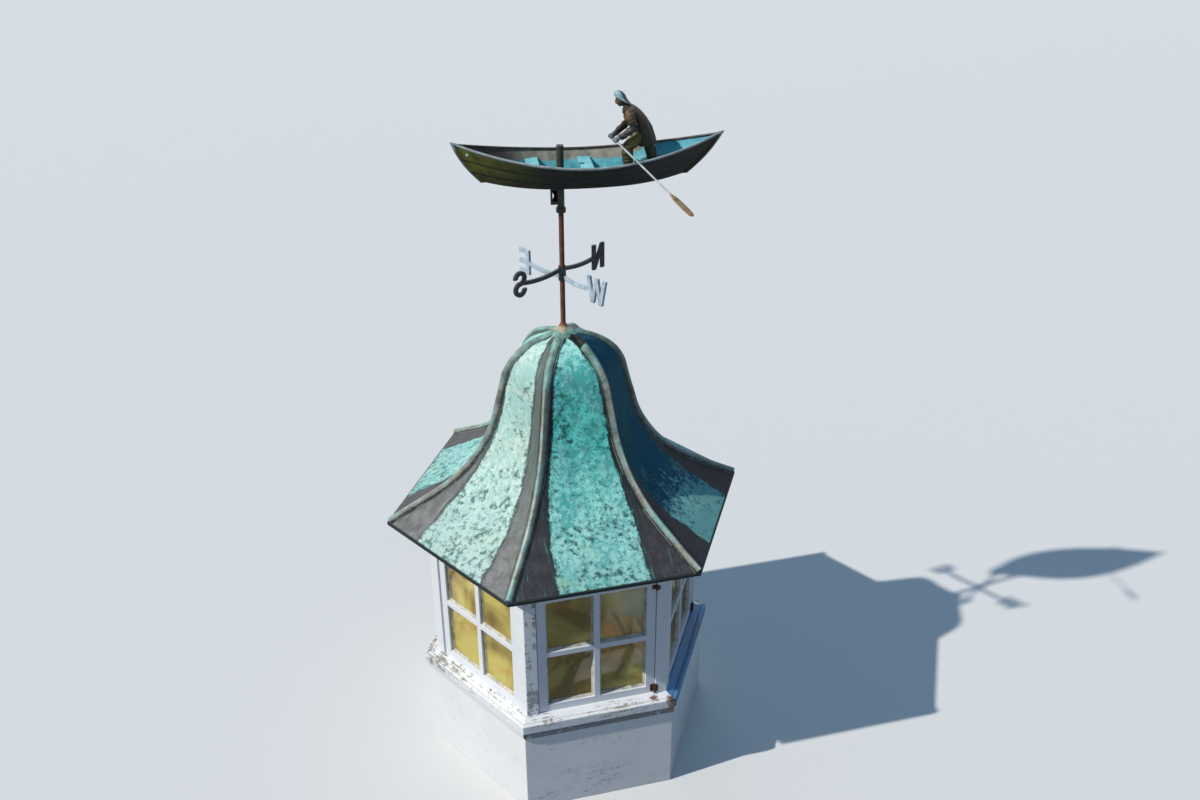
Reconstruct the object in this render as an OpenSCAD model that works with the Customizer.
// Six-sided barn cupola with a bell-shaped copper roof and a rowing-boat weathervane.
// The origin is on the floor in the middle of the base, +Z is up, and the front window faces -Y.
// Every ring of the building is a hexagon whose corners lie on the X axis and at 60 degree steps.

/* [Base] */
// Width of the base across its flats
base_af = 890; // [700:10:1000]
// Height of the base walls from the floor to the sill
base_h = 356; // [200:1:600]
// Thickness of the base walls
base_t = 22; // [12:1:40]
// Height of the apron board under the sill
apron_h = 29; // [15:1:60]
// Thickness of the apron board on the face of the wall
apron_t = 6; // [3:1:10]

/* [Sill] */
// How far the nosing reaches past the base wall
nosing_out = 12; // [11:1:40]
// Thickness of the nosing
nosing_t = 33; // [15:1:60]
// Rise of the sloping sill from the nosing to the posts
sill_rise = 9; // [4:1:30]
// Width and depth of the groove behind the nosing
groove_w = 3; // [2:0.5:6]
// Width of the nosing in front of the groove
nosing_w = 12; // [8:1:20]

/* [Lantern] */
// Width of the lantern across the faces of its posts
lantern_af = 836; // [700:2:850]
// Width of each face of a corner post
post_face = 40; // [25:1:80]
// Depth of the posts, which is the depth of the lantern wall
post_d = 36; // [30:1:60]
// Height of a window sash
sash_h = 480; // [300:1:800]
// Thickness of a window sash
sash_t = 28; // [24:1:30]
// How far the face of a sash lies behind the face of the posts
sash_set = 6; // [2:1:6]
// Gap between a sash and the posts and head beside it
sash_gap = 2.5; // [1:0.5:5]
// Width of the stiles at the sides of a sash
stile_w = 30; // [20:1:60]
// Width of the rails at the top and bottom of a sash
rail_w = 28; // [20:1:60]
// Width of the bars between the panes
bar_w = 20; // [10:1:30]
// Depth of the bars in front of the glass
bar_d = 14; // [6:1:18]
// Thickness of the glass
glass_t = 4; // [2:0.5:6]
// How far the glass reaches into the rebate of the sash
rebate = 8; // [4:1:14]
// Height of the head boards above the windows
head_h = 78; // [40:1:150]
// Thickness of the head boards
head_t = 28; // [15:1:30]

/* [Roof] */
// Width of the roof across its flat eaves
eave_af = 1060; // [980:10:1200]
// Thickness of the roof panels, copper over boards
panel_t = 6; // [3:0.5:12]
// Width of the folded hem that hangs from the eave
hem_w = 3; // [2:0.5:6]
// Drop of the hem below the edge of the roof
hem_h = 9; // [8:1:20]
// Length of the straight lower slope of a panel
slope_l = 159; // [60:1:260]
// Pitch of the lower slope in degrees
slope_a = 32; // [20:1:45]
// Radius of the hollow flare above the lower slope
flare_r = 437; // [300:1:600]
// Pitch of the steep stretch in degrees
steep_a = 78; // [65:1:85]
// Length of the steep stretch
steep_l = 128; // [20:1:250]
// Radius of the round shoulder
shoulder_r = 174; // [120:1:178]
// Pitch of the crown in degrees
crown_a = 24; // [10:1:45]
// Thickness of the soffit boards
soffit_t = 16; // [10:1:30]
// How far the soffit stops short of the eave
soffit_set = 28; // [20:1:60]
// Width of the rolled ribs over the hips
rib_w = 26; // [16:1:40]
// Height of the rolled ribs
rib_h = 14; // [8:1:24]
// Width of the crown cap across its flats
cap_af = 96; // [70:2:140]
// Thickness of the crown cap
cap_t = 13; // [6:1:20]
// Width of the timber block under the crown across its flats
block_af = 90; // [60:2:120]
// Height of the timber block under the crown
block_h = 130; // [60:1:200]

/* [Mast] */
// Diameter of the mast
mast_d = 16; // [10:1:24]
// Depth of the mast's foot in the timber block
mast_in = 80; // [40:1:120]
// Height of the boat's flat bottom above the floor
boat_z = 2079; // [2000:1:2400]
// Height of the top of the vane tube above the boat's bottom
tube_up = 118; // [90:1:200]
// Drop of the vane tube below the boat's bottom
tube_down = 88; // [60:1:150]
// Wall of the vane tube
tube_wall = 3; // [1.5:0.5:6]
// Running clearance all round between the mast and the vane tube
run_gap = 0.06; // [0.03:0.01:0.1]
// Angle of the boat at rest, from +X towards +Y
vane_a = -6.5; // [-180:0.5:180]

/* [Compass] */
// Height of the lower arms, which carry the pale letters
arm_z = 1779; // [1720:1:1860]
// Step from the lower arms up to the upper ones
arm_step = 26; // [16:1:60]
// Height of the flat arms
arm_h = 13; // [8:1:18]
// Sag of each arm half way to its letter
arm_sag = 7; // [0:1:14]
// Direction of the arm that carries the dark letters
arm_a = 29; // [0:1:60]
// Diameter of the hub that holds the arms
hub_d = 24; // [22:1:50]
// Height of the hub beyond the middle of its arms
hub_end = 11; // [10:1:20]
// Height of a letter
letter_h = 84; // [50:1:140]
// Thickness of the letters and arms
letter_t = 9; // [4:1:12]
// Width of the strokes of a letter
stroke = 14; // [8:1:20]
// Width of the N
n_width = 50; // [30:1:80]
// Width of the E
e_width = 47; // [30:1:80]
// Width of the W
w_width = 84; // [60:1:120]
// Reach from the mast to the inner edge of each letter: N, E, S, W
reach_n = 128; // [100:1:200]
// Reach to the E
reach_e = 154; // [100:1:200]
// Reach to the S
reach_s = 146; // [100:1:200]
// Reach to the W
reach_w = 114; // [100:1:200]

/* [Boat] */
// Length of the flat bottom
bottom_l = 610; // [500:1:640]
// Place of the middle of the bottom, aft of the mast
bottom_mid = 74; // [20:1:100]
// Width of the bottom amidships
bottom_w = 104; // [60:1:140]
// Rise of the bottom at its ends
rocker = 18; // [4:1:30]
// Length over the rails from tip to tip
sheer_l = 788; // [700:1:900]
// Place of the middle of the rails, aft of the mast
sheer_mid = 85; // [40:1:120]
// Width of the boat over its planks
beam = 214; // [160:1:280]
// Height of the rails above the bottom amidships
depth = 70; // [60:1:120]
// Rise of the rails from amidships to the tips
sheer_rise = 59; // [20:1:120]
// Thickness of the planks
plank_t = 4; // [2.5:0.5:6]
// Step where each plank laps over the one below
lap = 2; // [1:0.5:3]
// Thickness of the stem posts at the two ends
stem_t = 9; // [6:1:14]
// Depth of the stem posts along the boat
stem_d = 10; // [6:1:20]
// Diameter of the rope-shaped rail
rail_d = 8; // [5:0.5:12]
// Width of a thwart along the boat
thwart_w = 38; // [20:1:60]
// Thickness of a thwart
thwart_t = 5; // [3:0.5:10]
// Height of the middle thwart above the boat's bottom
thwart_z = 55; // [25:1:66]

/* [Oar] */
// Length of the oar over all
oar_l = 359; // [300:1:420]
// Length of the oar inboard of the near hand
oar_in = 26; // [20:1:60]
// Diameter of the loom of the oar
oar_d = 6; // [4:0.5:10]
// Length of the blade
blade_l = 96; // [60:1:140]
// Width of the blade
blade_w = 26; // [16:1:40]
// Thickness of the blade
blade_t = 4; // [2:0.5:6]
// Height of the oar in its lock above the rail
lock_up = 3; // [2:0.5:8]

/* [Sailor] */
// Diameter of the thighs
thigh_d = 36; // [24:1:40]
// Diameter of the tops of the sea boots
shaft_d = 36; // [24:1:40]
// Height of the boots over the instep, which is also their width
boot_d = 18; // [12:1:22]
// Width of the coat across the shoulders
coat_w = 76; // [56:1:84]
// Diameter of the sleeves
sleeve_d = 27; // [16:1:30]
// Diameter of a closed hand
hand_d = 15; // [12:1:18]
// Distance along the oar from one hand to the other
far_hand = 19; // [17:1:26]
// Height of the head from chin to crown
head_l = 36; // [28:1:44]

/* [Hidden] */
$fn = 48;

// Clearance where one piece is seated on another; twice that inside the curved planks
seat = 0.3;

// Half widths of the rings, from the middle to a flat
base_o = base_af/2;
base_i = base_o - base_t;
nosing_o = base_o + nosing_out;
post_o = lantern_af/2;
post_i = post_o - post_d;
eave_o = eave_af/2;
soffit_o = eave_o - soffit_set;
side = lantern_af*tan(30);

// Heights of the building
nosing_z = base_h + nosing_t;
bed_z = nosing_z + sill_rise;
sash_z = bed_z + seat;
head_z = sash_z + sash_h + sash_gap;
soffit_z = head_z + head_h;
soffit_top = soffit_z + soffit_t;
eave_z = soffit_top + seat + panel_t/cos(slope_a) - soffit_set*tan(slope_a);

// Roof curve in the middle plane of a panel, as [[half width, height], pitch]
function along(a) = [-cos(a), sin(a)];
function outward(a) = [sin(a), cos(a)];
arc_steps = 12;
p_eave = [eave_o, eave_z];
p_flare = p_eave + slope_l*along(slope_a);
c_flare = p_flare + flare_r*outward(slope_a);
p_steep = c_flare - flare_r*outward(steep_a);
p_shoulder = p_steep + steep_l*along(steep_a);
c_shoulder = p_shoulder - shoulder_r*outward(steep_a);
p_crown = c_shoulder + shoulder_r*outward(crown_a);
function on_crown(x) = [x, p_crown.y + (p_crown.x - x)*tan(crown_a)];
function flare_point(i) = let (a = slope_a + (steep_a - slope_a)*i/arc_steps)
    [c_flare - flare_r*outward(a), a];
function shoulder_point(i) = let (a = steep_a + (crown_a - steep_a)*i/arc_steps)
    [c_shoulder + shoulder_r*outward(a), a];
roof_curve = concat([[p_eave, slope_a]],
    [for (i = [0:arc_steps]) flare_point(i)],
    [for (i = [0:arc_steps]) shoulder_point(i)]);
tip_half = mast_d/2 + 2;
crown_z = on_crown(0).y;

// Places on the boat, measured aft from the mast, out to the side and up from its bottom
function bottom_half(u) = max(stem_t/2, bottom_w/2*(1 - u*u));
function sheer_half(u) = max(stem_t/2, beam/2*(1 - u*u));
function bottom_rise(u) = rocker*pow(max(0, abs(u) - 0.3)/0.7, 2);
function sheer_height(u) = depth + sheer_rise*pow(abs(u), 1.9);
function bottom_at(u) = [bottom_mid + bottom_l/2*u, bottom_half(u), bottom_rise(u)];
function sheer_at(u) = [sheer_mid + sheer_l/2*u, sheer_half(u), sheer_height(u)];
function plank_at(u, h) = bottom_at(u) + h*(sheer_at(u) - bottom_at(u));
function station_at(s, h) = (s - bottom_mid - h*(sheer_mid - bottom_mid))
    /(bottom_l/2 + h*(sheer_l - bottom_l)/2);

// Half width inside the planks at s and z: the inner wall starts on the plank of the bottom, and
// two rounds are enough to find the station, because the stations lean only slightly
function inner_share(u, z) = (z - bottom_rise(u) - plank_t)/(sheer_height(u) - bottom_rise(u) - plank_t);
function inner_half(s, z) = let (
        h1 = inner_share(station_at(s, 0.5), z),
        h2 = inner_share(station_at(s, h1), z)
    ) plank_at(station_at(s, h2), h2).y - plank_t;
// Thwarts as [place, height above the middle one]
thwart_places = [[-81, 8], [79, 0], [246, 4]];
strake_1 = 0.3;
strake_2 = 0.66;

// Places of the sailor on the boat, on the same axes; the near side is -Y
grip = [160, -35, 135];
near_shoulder = [201, -36, 213];
near_elbow = [216, -42, 175];
far_shoulder = [205, 36, 211];
far_elbow = [209, 36, 170];
near_hip = [246, -12, 146];
near_knee = [196, -24, 110];
near_heel = 213;
near_foot_y = 22;
far_hip = [258, 13, 144];
far_knee = [269, 15, 106];
far_heel = 297;
far_foot_y = 8;
boot_l = 44;

// The coat from its hem to its collar, as [middle, half length, share of its half width, tilt]
coat_rings = [
    [[256, 0, 116], 30, 0.87, 0], [[254, 0, 135], 29, 0.90, 8], [[246, 0, 160], 26, 0.84, 20],
    [[236, 0, 182], 22, 0.87, 28], [[222, 0, 204], 18, 0.93, 34], [[208, 0, 219], 14, 0.86, 40],
    [[198, 0, 226], 9, 0.45, 44]];

// The head from the neck to the crown as [place, half length, half width, jut of the face], its
// heights as shares of the head, and the hat over the chin as [place, half length, half width, tilt]
chin = [183, 0, 226];
nod = -12;
head_rings = [
    [[12, 0, -0.35], 7, 7, 0], [[6, 0, -0.02], 7.5, 7.5, 0], [[0, 0, 0.04], 11, 8, 0.5],
    [[0, 0, 0.20], 13.5, 10.5, 0.6], [[0, 0, 0.30], 14, 11.5, 0.2], [[0, 0, 0.38], 14.5, 12, 3],
    [[0, 0, 0.50], 14.5, 12.2, 1], [[0, 0, 0.62], 15, 12.5, 0.6], [[0, 0, 0.80], 13.5, 11.5, 0],
    [[0, 0, 0.93], 9.5, 8.5, 0], [[0, 0, 1], 4, 3.5, 0]];
hat_rings = [
    [[0, 0, 25], 17, 14, -20], [[3, 0, 18], 31, 21, -25], [[3, 0, 21], 31, 21, -25],
    [[-3, 0, 30], 19, 16, -16], [[-7, 0, 39], 16, 14, -8], [[-10, 0, 45], 10, 9, 0],
    [[-11, 0, 47], 4, 3.5, 0]];

// The oar runs from the near hand through the oarlock on the near rail
lock_s = 211;
lock_u = station_at(lock_s, 1);
lock = [lock_s, plank_t/2 - sheer_half(lock_u), sheer_height(lock_u) + rail_d + seat + lock_up + oar_d/2];

// Turns a child from the front face to face number k, counting round by the right
module on_face(k) rotate([0, 0, 60*k]) children();

// A profile given as [half width, height], run along the front face and mitred at its ends;
// gap is what the mitre joint leaves open between neighbours
module face_run(profile, r, gap = 0) {
    far = 2*r;
    intersection() {
        translate([-far, 0, 0]) rotate([90, 0, 90]) linear_extrude(height = 2*far)
            polygon([for (p = profile) [-p.x, p.y]]);
        linear_extrude(height = 2*eave_z)
            polygon([[0, -gap], [-(far - gap)*tan(30), -far], [(far - gap)*tan(30), -far]]);
    }
}

// Six boards of one profile, one on each face, with open mitre joints
module boards(profile, r) {
    for (k = [0:5]) on_face(k) face_run(profile, r, seat);
}

// A plain board profile between two half widths and two heights
function plank(outer, inner, z0, z1) = [[outer, z0], [outer, z1], [inner, z1], [inner, z0]];

// A skin over rings of points, each turning right-handed about the way they follow each other
module skin(rings) {
    n = len(rings[0]);
    m = len(rings);
    sides = [for (i = [0:m - 2]) for (j = [0:n - 1]) each [
        [i*n + j, (i + 1)*n + (j + 1)%n, i*n + (j + 1)%n],
        [i*n + j, (i + 1)*n + j, (i + 1)*n + (j + 1)%n]]];
    ends = [[for (j = [0:n - 1]) j], [for (j = [n - 1:-1:0]) (m - 1)*n + j]];
    polyhedron(points = [for (r = rings) each r], faces = concat(sides, ends));
}

// Base

module base_wall(k) {
    color("gainsboro") on_face(k) linear_extrude(height = base_h)
        polygon([
            [-base_o*tan(30), -base_o], [base_o*tan(30), -base_o],
            [base_i*tan(30), -base_i], [-base_i*tan(30), -base_i]]);
}

module apron() {
    color("lightgray") boards(plank(base_o + apron_t, base_o, base_h - apron_h, base_h), base_o);
}

module sill() {
    back = nosing_o - nosing_w;
    profile = [
        [nosing_o, base_h], [nosing_o, nosing_z - 2], [nosing_o - 2, nosing_z],
        [back, nosing_z], [back, nosing_z - groove_w], [back - groove_w, nosing_z - groove_w],
        [back - groove_w, nosing_z + 1], [post_o, bed_z], [post_i, bed_z], [post_i, base_h]];
    color("whitesmoke") boards(profile, nosing_o);
}

// Lantern

module corner_post(k) {
    edge = post_o*tan(30) - post_face;
    color("white") rotate([0, 0, 60*k]) translate([0, 0, bed_z])
        linear_extrude(height = soffit_z - bed_z) polygon([
            [edge, -post_o], [post_o*tan(30), -post_o],
            rotated([-edge, -post_o], 60), rotated([-edge, -post_i], 60),
            [post_i*tan(30), -post_i], [edge, -post_i]]);
}

function rotated(p, a) = [p.x*cos(a) - p.y*sin(a), p.x*sin(a) + p.y*cos(a)];

sash_w = side - 2*post_face - 2*sash_gap;
light_w = (sash_w - 2*stile_w - bar_w)/2;
light_h = (sash_h - 2*rail_w - bar_w)/2;
glass_w = sash_w - 2*stile_w + 2*rebate;
glass_h = sash_h - 2*rail_w + 2*rebate;

module window_sash(k) {
    color("ivory") on_face(k) translate([-sash_w/2, -post_o + sash_set, sash_z])
        difference() {
            cube([sash_w, sash_t, sash_h]);
            for (i = [0, 1], j = [0, 1])
                translate([stile_w + i*(light_w + bar_w), -1, rail_w + j*(light_h + bar_w)])
                    cube([light_w, sash_t + 2, light_h]);
            translate([stile_w - rebate, bar_d, rail_w - rebate])
                cube([glass_w, sash_t, glass_h]);
        }
}

module window_glass() {
    color("khaki") for (k = [0:5]) on_face(k)
        translate([-glass_w/2 + seat, -post_o + sash_set + bar_d, sash_z + rail_w - rebate + seat])
            cube([glass_w - 2*seat, glass_t, glass_h - 2*seat]);
}

module window_heads() {
    head_w = side - 2*post_face - 2*seat;
    color("white") for (k = [0:5]) on_face(k)
        translate([-head_w/2, -post_o, head_z]) cube([head_w, head_t, head_h]);
}

module soffit() {
    color("white") boards(plank(soffit_o, post_i, soffit_z, soffit_top), soffit_o);
}

// Roof

module roof_panel(k) {
    top = on_crown(tip_half);
    outer = concat([for (c = roof_curve) c[0]], [top]);
    inner = concat(
        [top - [0, panel_t/cos(crown_a)]],
        [for (i = [len(roof_curve) - 1:-1:1]) roof_curve[i][0] - panel_t*outward(roof_curve[i][1])],
        [[eave_o - hem_w, eave_z - panel_t/cos(slope_a) + hem_w*tan(slope_a)]]);
    hem = [[eave_o - hem_w, eave_z - hem_h], [eave_o, eave_z - hem_h]];
    color("mediumaquamarine") on_face(k) face_run(concat(outer, inner, hem), eave_o);
}

// One cross-section of a hip rib over the roof point p with pitch a
function rib_section(p, a, upright) = let (
        hip_a = atan(tan(a)*cos(30)),
        up = upright ? [0, 0, 1] : [sin(hip_a), 0, cos(hip_a)],
        panel_n = [sin(a)*cos(30), sin(a)*sin(30), cos(a)],
        fall = panel_n.y/(panel_n*up),
        foot = [p.x/cos(30), 0, p.y] + seat*up
    ) [for (q = [
        [0, 0], [rib_w/2, -fall*rib_w/2], [rib_w*0.5, rib_h*0.45 - fall*rib_w/4],
        [rib_w*0.3, rib_h*0.88], [0, rib_h], [-rib_w*0.3, rib_h*0.88],
        [-rib_w*0.5, rib_h*0.45 - fall*rib_w/4], [-rib_w/2, -fall*rib_w/2]])
        foot - [0, q.x, 0] + q.y*up];

module hip_ribs() {
    cap_end = on_crown(cap_af/2 + seat);
    sections = concat(
        [for (i = [0:len(roof_curve) - 1]) rib_section(roof_curve[i][0], roof_curve[i][1], i == 0)],
        [rib_section(cap_end, crown_a, true)]);
    color("darkseagreen") for (k = [0:5]) rotate([0, 0, 60*k]) skin(sections);
}

// A solid under a hexagonal cone that falls from peak_z with the crown's pitch, out to half
module under_crown(half, peak_z, foot_z) {
    corner = half/cos(30);
    rotate_extrude($fn = 6)
        polygon([[0, foot_z], [corner, foot_z], [corner, peak_z - half*tan(crown_a)], [0, peak_z]]);
}

module mast_hole() {
    translate([0, 0, mast_z0]) cylinder(h = arm_z, d = mast_d + 2*seat);
}

module crown_cap() {
    half = cap_af/2;
    foot = crown_z + seat - half*tan(crown_a);
    color("tan") difference() {
        under_crown(half, crown_z + cap_t, foot);
        under_crown(2*half, crown_z + seat, foot - 2*half);
        mast_hole();
    }
}

module crown_block() {
    peak = crown_z - panel_t/cos(crown_a) - seat;
    color("burlywood") difference() {
        under_crown(block_af/2, peak, peak - block_h);
        mast_hole();
    }
}

// Mast and compass

mast_z0 = crown_z - panel_t/cos(crown_a) - mast_in;
tube_z0 = boat_z - tube_down;
tube_z1 = boat_z + tube_up;
mast_z1 = tube_z1 - tube_wall - seat;

module mast() {
    color("saddlebrown") translate([0, 0, mast_z0 + seat])
        cylinder(h = mast_z1 - mast_z0 - seat, d = mast_d);
}

module compass_hub() {
    color("dimgray") difference() {
        translate([0, 0, arm_z - hub_end]) cylinder(h = arm_step + 2*hub_end, d = hub_d);
        translate([0, 0, arm_z - 2*hub_end]) cylinder(h = arm_step + 4*hub_end, d = mast_d + 2*seat);
        rotate([0, 0, arm_a + 90]) arm_slot(arm_z);
        rotate([0, 0, arm_a]) arm_slot(arm_z + arm_step);
    }
}

// The slot that an arm's two roots stand in
module arm_slot(z) {
    w = letter_t + 2*seat;
    h = arm_h + 2*seat;
    translate([-hub_d, -w/2, z - h/2]) cube([2*hub_d, w, h]);
}

// Turns a flat shape drawn in the plane of an arm, x out and y up, into a plate at height z
module plate(z) {
    translate([0, letter_t/2, z]) rotate([90, 0, 0]) linear_extrude(height = letter_t) children();
}

// A flat arm from the hub's root to the letter, which sags in a parabola along its way
module arm(reach) {
    root = mast_d/2 + 2*seat;
    out = reach + 0.9*stroke;
    steps = 12;
    xs = [for (i = [0:steps]) root + (out - root)*i/steps];
    function sag(x) = x < hub_d/2 ? 0 : let (t = (x - hub_d/2)/(out - hub_d/2)) -4*arm_sag*t*(1 - t);
    polygon(concat(
        [for (x = xs) [x, sag(x) + arm_h/2]],
        [for (i = [steps:-1:0]) [xs[i], sag(xs[i]) - arm_h/2]]));
}

module letter_at(reach) translate([reach, -letter_h/2]) children();

module letter_n() {
    w = n_width;
    square([stroke, letter_h]);
    translate([w - stroke, 0]) square([stroke, letter_h]);
    polygon([[0, 0], [stroke, 0], [w, letter_h], [w - stroke, letter_h]]);
}

module letter_e() {
    w = e_width;
    square([stroke, letter_h]);
    for (y = [0, (letter_h - stroke)/2, letter_h - stroke]) translate([0, y]) square([w, stroke]);
}

// Two V shapes side by side, each stroke slanting over the same run
module letter_w() {
    run = (w_width - stroke)/4;
    for (x = [0, 2*run], m = [0, 1]) translate([x + 2*m*run, 0]) mirror([m, 0]) translate([-m*stroke, 0])
        polygon([[0, letter_h], [stroke, letter_h], [run + stroke, 0], [run, 0]]);
}

module letter_s() {
    r = letter_h/4 + stroke/4;
    for (m = [0, 1]) translate([r, m == 0 ? r : letter_h - r]) rotate(m*180)
        difference() {
            circle(r = r);
            circle(r = r - stroke);
            translate([-2*r, 0]) square([2*r, 2*r]);
        }
}

module compass_north_south() {
    z = arm_z + arm_step;
    color("darkslategray") rotate([0, 0, arm_a]) {
        union() {
            plate(z) arm(reach_n);
            plate(z) letter_at(reach_n) letter_n();
        }
        mirror([1, 0, 0]) union() {
            plate(z) arm(reach_s);
            plate(z) letter_at(reach_s) letter_s();
        }
    }
}

module compass_east_west() {
    color("lightsteelblue") rotate([0, 0, arm_a + 90]) {
        union() {
            plate(arm_z) arm(reach_e);
            plate(arm_z) letter_at(reach_e) letter_e();
        }
        mirror([1, 0, 0]) union() {
            plate(arm_z) arm(reach_w);
            plate(arm_z) letter_at(reach_w) letter_w();
        }
    }
}

// Vane

module on_boat() rotate([0, 0, vane_a]) translate([0, 0, boat_z]) children();

module vane_tube() {
    bore = mast_d + 2*run_gap;
    outer = mast_d + 2*tube_wall;
    color("darkslategray") on_boat() difference() {
        union() {
            translate([0, 0, -tube_down]) cylinder(h = tube_down + tube_up, d = outer);
            translate([0, 0, -tube_down]) cylinder(h = 14, d = outer + 8);
            translate([0, 0, -4 - seat]) cylinder(h = 4, d = 3*outer);
            translate([-outer/2 - 20, -3, -64]) cube([outer/2 + 20, 6, 50]);
        }
        translate([-outer/2 - 14, -4, -54]) cube([14, 8, 32]);
        translate([0, 0, -tube_down - 1]) cylinder(h = tube_down + tube_up + 1 - tube_wall, d = bore);
    }
}

// One cross-section of the planked shell at station u: outside round, then inside back
function shell_section(u) = let (
        outer = [for (q = [[1, 0], [strake_2, lap], [strake_2, 0], [strake_1, lap], [strake_1, 0], [0, 0]])
            plank_at(u, q[0]) + [0, q[1]*min(1, plank_at(u, q[0]).y/20), 0]],
        inner = [for (h = [1, strake_2, strake_2 - 0.02, strake_1, strake_1 - 0.02, 0])
            let (p = plank_at(u, h)) [p.x, max(0.3*p.y, p.y - plank_t), p.z + plank_t*(1 - h)]],
        mid = bottom_at(u)
    ) concat(
        [for (p = outer) p],
        [[mid.x, 0, mid.z]],
        [for (i = [5:-1:0]) [outer[i].x, -outer[i].y, outer[i].z]],
        [for (i = [0:5]) [inner[i].x, -inner[i].y, inner[i].z]],
        [[mid.x, 0, mid.z + plank_t]],
        [for (i = [5:-1:0]) inner[i]]);

shell_steps = 32;

module shell() {
    rings = [for (i = [0:shell_steps]) shell_section(-1 + 2*i/shell_steps)];
    n = len(rings[0]);
    m = len(rings);
    half = n/2;
    sides = [for (i = [0:m - 2]) for (j = [0:n - 1]) each [
        [i*n + j, (i + 1)*n + (j + 1)%n, i*n + (j + 1)%n],
        [i*n + j, (i + 1)*n + j, (i + 1)*n + (j + 1)%n]]];
    ends = [for (j = [0:half - 2]) each [
        [j, j + 1, n - 2 - j], [j, n - 2 - j, n - 1 - j],
        [(m - 1)*n + j, (m - 1)*n + n - 2 - j, (m - 1)*n + j + 1],
        [(m - 1)*n + j, (m - 1)*n + n - 1 - j, (m - 1)*n + n - 2 - j]]];
    polyhedron(points = [for (r = rings) each r], faces = concat(sides, ends));
}

module boat_hull() {
    color("darkolivegreen") on_boat() difference() {
        shell();
        translate([0, 0, -1]) cylinder(h = 20, d = mast_d + 2*tube_wall + 2*seat);
    }
}

// One cross-section of the rail on side w, and rails that run into the stem posts
function rail_ring(u, w) = let (p = sheer_at(u), r = rail_d/2)
    [for (a = [22.5:45:359]) [p.x, w*(p.y + r*cos(a) - plank_t/2), p.z + r*sin(a) + r + seat]];

module boat_rail() {
    over = 1 + stem_d/sheer_l;
    color("silver") on_boat() {
        for (w = [-1, 1]) skin([for (i = [0:30]) rail_ring(w*over*(i/15 - 1), w)]);
        for (u = [-1, 1]) stem(u);
        oarlock();
    }
}

module stem(u) {
    low = bottom_at(u);
    top = sheer_at(u);
    rake = (top.x - low.x)/(top.z - low.z);
    head = top + rail_d*[rake, 0, 1];
    translate([0, stem_t/2, 0]) rotate([90, 0, 0]) linear_extrude(height = stem_t)
        polygon([
            [low.x + u*seat, low.z], [low.x + u*stem_d, low.z],
            [head.x + u*stem_d, head.z], [head.x + u*seat, head.z]]);
}

module boat_thwarts() {
    play = 2*seat;
    color("turquoise") on_boat() for (t = thwart_places) {
        s = t[0];
        z0 = thwart_z - thwart_t + t[1];
        a = inner_half(s - thwart_w/2, z0) - play;
        b = inner_half(s + thwart_w/2, z0) - play;
        translate([0, 0, z0]) linear_extrude(height = thwart_t)
            polygon([[s - thwart_w/2, -a], [s + thwart_w/2, -b], [s + thwart_w/2, b], [s - thwart_w/2, a]]);
    }
}

// Turns a child from +X to the line of the oar, with the near hand at its origin
module on_oar() {
    d = lock - grip;
    translate(grip) rotate([0, 0, atan2(d.y, d.x)]) rotate([0, -asin(d.z/norm(d)), 0]) children();
}

module oar() {
    neck = oar_l - oar_in - blade_l;
    color("silver") on_boat() on_oar() {
        translate([-oar_in, 0, 0]) rotate([0, 90, 0])
            cylinder(h = neck + oar_in + blade_w/2, d = oar_d);
        translate([neck, 0, -blade_t/2]) linear_extrude(height = blade_t) {
            translate([blade_w/2, -blade_w/2]) square([blade_l - blade_w, blade_w]);
            translate([blade_w/2, 0]) circle(d = blade_w);
            translate([blade_l - blade_w/2, 0]) circle(d = blade_w);
        }
    }
}

// The eight-sided way cut for the oar through what holds it
module oar_way(x0, x1) {
    on_oar() translate([x0, 0, 0]) rotate([0, 90, 0]) rotate(22.5)
        cylinder(h = x1 - x0, d = (oar_d + 2*seat)/cos(22.5), $fn = 8);
}

// Two horns on the near rail with the oar between them
module oarlock() {
    d = lock - grip;
    horn = oar_d + 8;
    low = oar_d/2 + lock_up + rail_d/2;
    difference() {
        translate(lock) rotate([0, 0, atan2(d.y, d.x)]) difference() {
            translate([-2, -horn/2, -low]) cube([4, horn, low + horn/2]);
            translate([-horn, -oar_d/2 - seat, 0]) cube([2*horn, oar_d + 2*seat, horn]);
        }
        oar_way(norm(d) - horn, norm(d) + horn);
    }
}

// Sailor, standing astride the aft thwart and leaning forward over the oar

// A tapering eight-sided limb through stops given as [place, diameter]
module limb(stops) {
    n = 8;
    last = len(stops) - 1;
    skin([for (i = [0:last]) let (
            d = stops[min(i + 1, last)][0] - stops[max(i - 1, 0)][0],
            across = unit(cross(d, [0, 1, 0])),
            side_to = unit(cross(d, across)),
            r = stops[i][1]/2/cos(180/n)
        ) [for (j = [0:n - 1]) let (a = 360*(j + 0.5)/n)
            stops[i][0] + r*cos(a)*across + r*sin(a)*side_to]]);
}

function unit(v) = v/norm(v);
function floor_at(s) = bottom_rise(station_at(s, 0)) + plank_t + seat;
function between(p, q, t) = p + t*(q - p);

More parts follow.
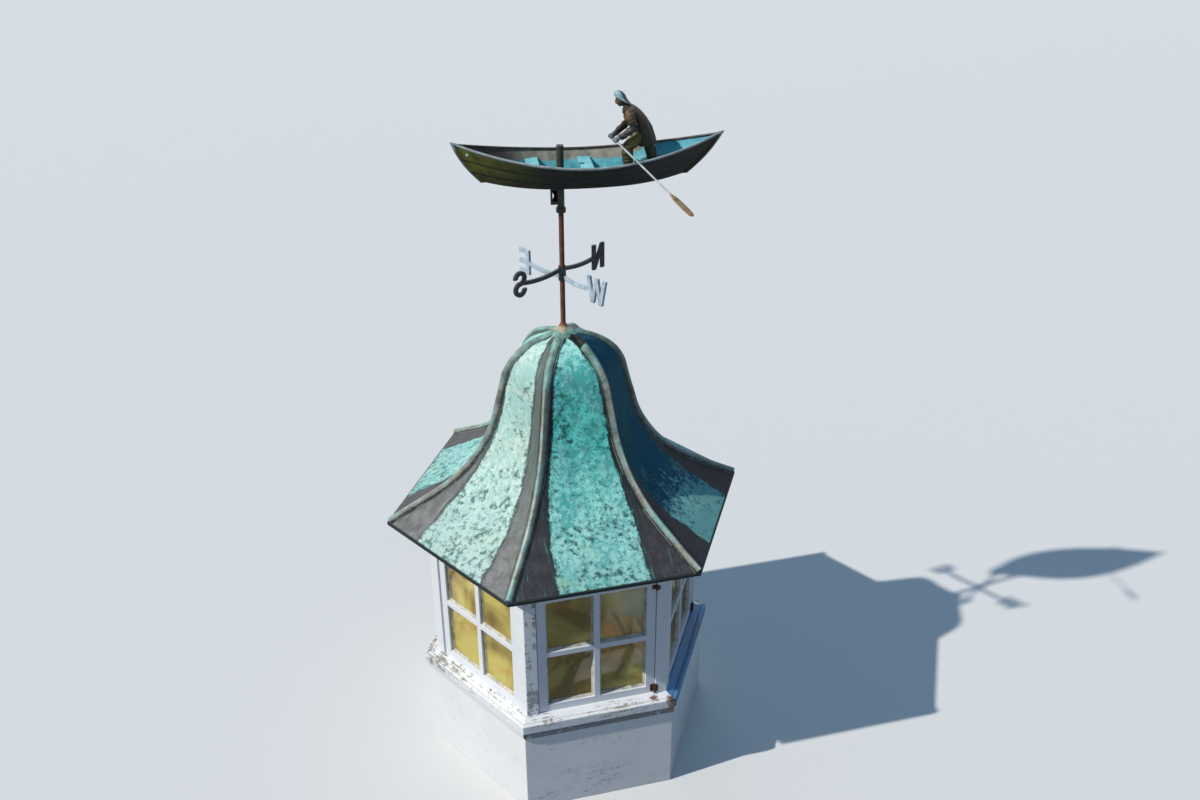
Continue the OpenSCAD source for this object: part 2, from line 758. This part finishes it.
// One leg from inside the coat to the boot, whose heel stands at heel_s on the boat's floor
module leg(hip, knee, heel_s, y) {
    r = boot_d/2;
    sole = max(floor_at(heel_s), floor_at(heel_s - boot_l));
    ankle = [heel_s - r, y, sole + boot_d];
    difference() {
        union() {
            limb([[hip, thigh_d], [between(hip, knee, 0.6), thigh_d - 2], [knee, shaft_d],
                [between(knee, ankle, 0.3), shaft_d], [between(knee, ankle, 0.75), boot_d*1.5],
                [ankle, boot_d*1.2], [[ankle.x, y, sole + r], boot_d - 1]]);
            limb([[[heel_s, y, sole + r*0.7], boot_d*0.7], [[heel_s - r, y, sole + r], boot_d],
                [[heel_s - boot_l + r, y, sole + r*0.8], boot_d*0.8],
                [[heel_s - boot_l, y, sole + r*0.5], boot_d*0.5]]);
        }
        coat_body(seat);
    }
}

module sailor_legs() {
    color("olive") on_boat() {
        leg(near_hip, near_knee, near_heel, -near_foot_y);
        leg(far_hip, far_knee, far_heel, far_foot_y);
    }
}

// The coat from its hem to its collar, larger all round by grow where other pieces are cut to it
module coat_body(grow) {
    n = 16;
    last = len(coat_rings) - 1;
    skin([for (i = [0:last]) let (c = coat_rings[i], lift = i == 0 ? -grow : i == last ? grow : 0)
        [for (j = [0:n - 1]) let (a = 360*j/n, r = c[1] + grow, w = c[2]*coat_w/2 + grow)
            c[0] + [r*cos(a)*cos(c[3]), w*sin(a), r*cos(a)*sin(c[3]) + lift]]]);
}

// A sleeve with the hand at its end closed round the oar
module sleeve(shoulder, elbow, at) {
    d = unit(lock - grip);
    hand = grip + at*d;
    wrist = between(elbow, hand, 0.75);
    cap = [shoulder.x, shoulder.y*0.75, shoulder.z + sleeve_d*0.4];
    limb([[cap, sleeve_d*0.5], [shoulder, sleeve_d],
        [elbow, sleeve_d*0.9], [wrist, sleeve_d*0.68], [hand, hand_d - 4]]);
    limb([[hand - hand_d/2*d, hand_d - 5], [hand - hand_d/4*d, hand_d],
        [hand + hand_d/4*d, hand_d], [hand + hand_d/2*d, hand_d - 5]]);
}

module sailor_coat() {
    color("darkolivegreen") on_boat() difference() {
        union() {
            coat_body(0);
            sleeve(near_shoulder, near_elbow, 0);
            sleeve(far_shoulder, far_elbow, -far_hand);
        }
        oar_way(-oar_in - 1, coat_w);
    }
}

// Head from the neck up to the crown, as [place, half length, half width, how far the face juts]
module head_skin(grow) {
    n = 16;
    skin([for (h = head_rings) [for (j = [0:n - 1]) let (
            a = 360*j/n,
            face = j == n/2 ? h[3] : 0,
            p = [(h[1] + grow)*cos(a) - face, (h[2] + grow)*sin(a), h[0].z*head_l]
        ) chin + [h[0].x + p.x*cos(nod) + p.z*sin(nod), p.y, p.z*cos(nod) - p.x*sin(nod)]]]);
}

module sailor_head() {
    color("peru") on_boat() difference() {
        head_skin(0);
        coat_body(seat);
    }
}

module sailor_hat() {
    color("lightblue") on_boat() difference() {
        skin([for (h = hat_rings) [for (j = [0:15]) let (
                a = 360*j/16
            ) chin + h[0] + [h[1]*cos(a)*cos(h[3]), h[2]*sin(a), h[1]*cos(a)*sin(h[3])]]]);
        head_skin(seat);
        coat_body(seat);
    }
}

base_wall(0);  // base_wall_front
base_wall(1);  // base_wall_front_right
base_wall(2);  // base_wall_back_right
base_wall(3);  // base_wall_back
base_wall(4);  // base_wall_back_left
base_wall(5);  // base_wall_front_left
apron();
sill();
corner_post(0);  // corner_post_front_right
corner_post(1);  // corner_post_right
corner_post(2);  // corner_post_back_right
corner_post(3);  // corner_post_back_left
corner_post(4);  // corner_post_left
corner_post(5);  // corner_post_front_left
window_sash(0);  // window_front
window_sash(1);  // window_front_right
window_sash(2);  // window_back_right
window_sash(3);  // window_back
window_sash(4);  // window_back_left
window_sash(5);  // window_front_left
window_glass();
window_heads();
soffit();
roof_panel(0);  // roof_panel_front
roof_panel(1);  // roof_panel_front_right
roof_panel(2);  // roof_panel_back_right
roof_panel(3);  // roof_panel_back
roof_panel(4);  // roof_panel_back_left
roof_panel(5);  // roof_panel_front_left
hip_ribs();
crown_cap();
crown_block();
mast();
compass_hub();
compass_north_south();
compass_east_west();
vane_tube();
boat_hull();
boat_rail();
boat_thwarts();
oar();
sailor_legs();
sailor_coat();
sailor_head();
sailor_hat();
